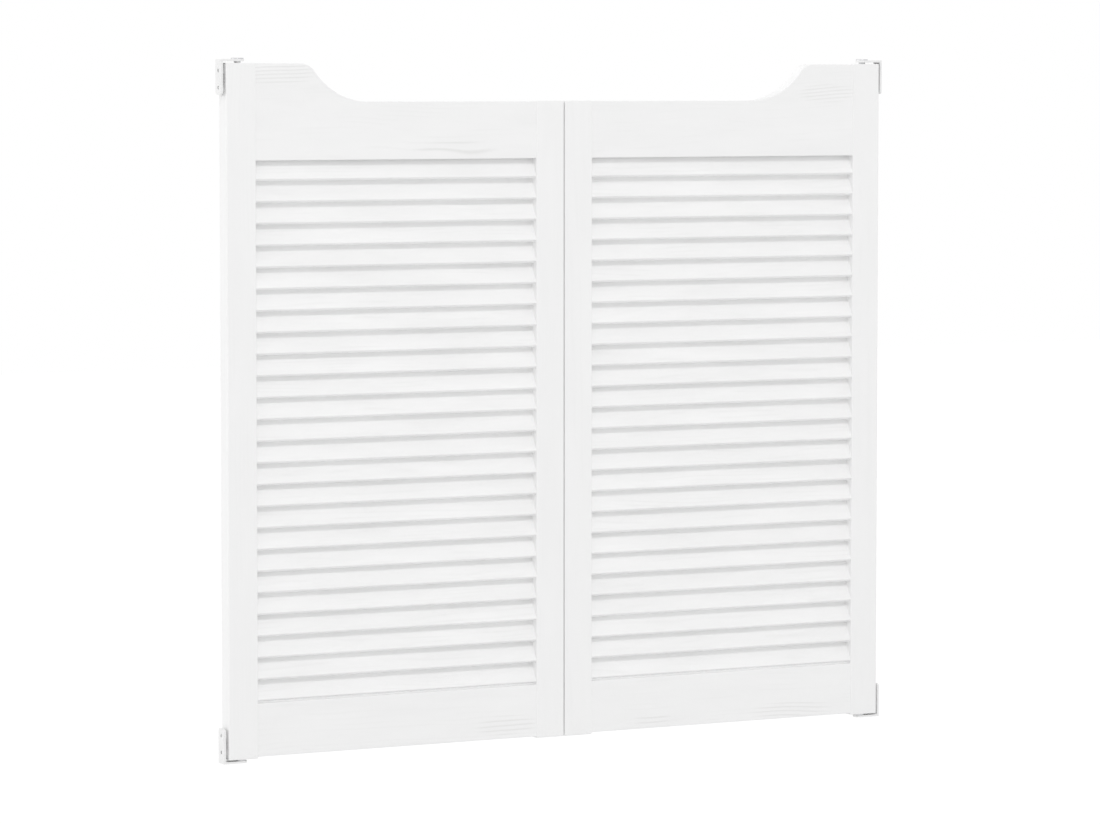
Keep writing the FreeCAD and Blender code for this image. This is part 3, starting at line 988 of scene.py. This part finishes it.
def bold_patches(from_outer_edge, above_base, patches):
    """1 in the middle of each patch of bold grain, fading to 0 at its rim, an ellipse."""
    strength = np.zeros_like(above_base)
    for x, z, half_length, half_height in patches:
        away = np.hypot((from_outer_edge - x) / half_length, (above_base - z) / half_height)
        strength = np.maximum(strength, 1 - smooth_step(away, BOLD_CORE, BOLD_RIM))
    return strength


print("patches of bold grain:", sum(len(patches) for patches in BOLD_GRAIN.values()))

# %% Carry the rails sideways
LEAF_OUTER_EDGE = 0.450
RAIL_BELOW_STILE = 0.0005
UNDER_THE_ARRIS = 0.002
CURVE_STEP = 0.0015
CURVE_STARTS = 0.085
PAST_THE_CURVE = 0.004
GRAIN_ON_RAILS = 0.18


def rail_skin(low, high, rng, from_outer_edge, is_top, patches):
    """Raised skin of a rail: a top rail has the curved edge, a bottom rail is a plain board.

    The stations stand closer together along the curve. A slope is per metre from the leaf's outer
    edge, so it changes sign on the leaf where X runs towards that edge.
    """
    stations = stations_with_fillets(low[0], high[0], ALONG_STEP)
    if is_top:
        curved = stations_between(low[0] + 2 * PAINT_FILLET, high[0] - 2 * PAINT_FILLET, CURVE_STEP)
        reach = from_outer_edge(curved)
        curved = curved[(reach > CURVE_STARTS) & (reach < SWEEP_END + PAST_THE_CURVE)]
        stations = np.unique(np.concatenate([stations, curved]).round(6))
        tops, slopes = top_edge(from_outer_edge(stations), high[2], LOW_EDGE)
        slopes = slopes * np.sign(from_outer_edge(1.0) - from_outer_edge(0.0))
        filleted_side = -1
    else:
        tops, slopes, filleted_side = np.full(len(stations), high[2]), np.zeros(len(stations)), 1
    stations = np.concatenate([[low[0] - UNDER_THE_ARRIS], stations, [high[0] + UNDER_THE_ARRIS]])
    tops = np.concatenate([tops[:1], tops, tops[-1:]])
    slopes = np.concatenate([slopes[:1], slopes, slopes[-1:]])
    loops = rail_loops(low, high, tops, slopes, stations, filleted_side)
    middle = (np.array(low) + np.array(high)) / 2
    bold = bold_patches(from_outer_edge(loops[..., 0]), loops[..., 2] - low[2], patches)
    late = year_rings(loops[..., 0] - middle[0], loops[..., 2] - middle[2], loops[..., 1], rng,
                      GRAIN_ON_RAILS, bold)
    return raise_grain(loops, late), late


LOW_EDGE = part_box("left_meeting_stile")[1].z - RAIL_BELOW_STILE
outer_distance = {"left": lambda x: x + LEAF_OUTER_EDGE, "right": lambda x: LEAF_OUTER_EDGE - x}
for side in SIDES:
    for part in ("top_rail", "bottom_rail"):
        node = "%s_%s" % (side, part)
        low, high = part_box(node)
        rng = np.random.default_rng(next(seeds))
        skin = rail_skin(low, high, rng, outer_distance[side], part == "top_rail", BOLD_GRAIN[node])
        mesh = mesh_from_skins("Painted_" + node, [skin])
        make_piece("Painted_" + node, mesh, paint_on_rails, side + "_leaf", [node])
        print(node, "faces:", len(mesh.polygons))

# %% [markdown]
# ## Slats
#
# Twenty-five slats fill each leaf, like the gills of a fish: each leans back from its lower front edge,
# so that the next one's nose hides the gap. A slat is the same skin again, with a thin rounded section,
# leaned over. No two boards are quite alike, so each slat gets its own rings, and sits a hair off true.

# %% Shape a slat
SLAT_THICKNESS = 0.006
SLAT_WIDTH = 0.03056
SLAT_NOSE_RADIUS = 0.0012
SLAT_LEAN_DEG = 28.0
SLAT_ACROSS_STEP = 0.0007
SLAT_ALONG_STEP = 0.010
HOUSING_MARGIN = 0.0005
FLARE_IN_HOUSING = 0.00075
LEAN_ERROR_DEG = 0.15
HEIGHT_ERROR = 0.00008
GRAIN_ON_SLATS = 0.28

lean = math.radians(SLAT_LEAN_DEG)


def slat_skin(x_range, stile_faces, height, rng):
    """Raised skin of one slat, from housing to housing, leaning about the X axis.

    A point (thickness a, width b) of the section goes to y = a cos t + b sin t, z = b cos t - a sin t.
    Between the stiles' faces the section grows by the paint fillet, and inside them it is plain.
    """
    section, normals = rounded_section(SLAT_THICKNESS / 2, SLAT_WIDTH / 2, SLAT_NOSE_RADIUS,
                                       SLAT_ACROSS_STEP)
    shown = stations_with_fillets(stile_faces[0], stile_faces[1], SLAT_ALONG_STEP)
    hidden = [x_range[0], stile_faces[0] - 2 * HOUSING_MARGIN, stile_faces[0] - HOUSING_MARGIN]
    stations = np.concatenate([hidden, shown, [stile_faces[1] + HOUSING_MARGIN,
                                               stile_faces[1] + 2 * HOUSING_MARGIN, x_range[1]]])
    distance = np.minimum(stations - stile_faces[0], stile_faces[1] - stations)
    flare = fillet_offset(distance) * (distance > -FLARE_IN_HOUSING)
    a = section[:, 0] + flare[:, None] * normals[:, 0]
    b = section[:, 1] + flare[:, None] * normals[:, 1]
    turn = lean + math.radians(rng.uniform(-LEAN_ERROR_DEG, LEAN_ERROR_DEG))
    centre_z = height + rng.uniform(-HEIGHT_ERROR, HEIGHT_ERROR)
    x = np.broadcast_to(stations[:, None], a.shape)
    y = a * math.cos(turn) + b * math.sin(turn)
    z = centre_z + b * math.cos(turn) - a * math.sin(turn)
    late = year_rings(x - stations.mean(), b, a, rng, GRAIN_ON_SLATS)
    return raise_grain(np.stack([x, y, z], axis=-1), late), late


half_rise = ((SLAT_WIDTH / 2 - SLAT_NOSE_RADIUS) * math.cos(lean)
             + (SLAT_THICKNESS / 2 - SLAT_NOSE_RADIUS) * math.sin(lean) + SLAT_NOSE_RADIUS)
print("a leaning slat is %.1f mm tall" % (2000 * half_rise))

# %% [markdown]
# A CAD part holds two slats, or one where they run out. The middle of a slat lies half its leaning
# height inside the part's box, below the top for one slat and above the bottom for the other. For a
# slat on its own the two heights are the same, or as good as.

# %% Lay the slats
HEIGHT_DECIMALS = 4

slat_count = 0
for side in SIDES:
    stile_boxes = [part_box("%s_%s" % (side, part)) for part in ("hinge_stile", "meeting_stile")]
    outer, inner = sorted(stile_boxes, key=lambda corners: corners[0].x)
    stile_faces = (outer[1].x, inner[0].x)
    for node in sorted(n for n in nodes if n.startswith(side + "_slats_")):
        low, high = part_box(node)
        middles = (high.z - half_rise, low.z + half_rise)
        heights = sorted({round(z, HEIGHT_DECIMALS) for z in middles})
        if len(heights) == 2 and heights[1] - heights[0] < SLAT_THICKNESS:
            heights = heights[:1]
        skins = [slat_skin((low.x, high.x), stile_faces, z, np.random.default_rng(next(seeds)))
                 for z in heights]
        slat_count += len(skins)
        mesh = mesh_from_skins("Painted_" + node, skins)
        make_piece("Painted_" + node, mesh, slat_paint_with_painted_light, side + "_leaf", [node])
print("slats:", slat_count, "faces in the last piece:", len(mesh.polygons))
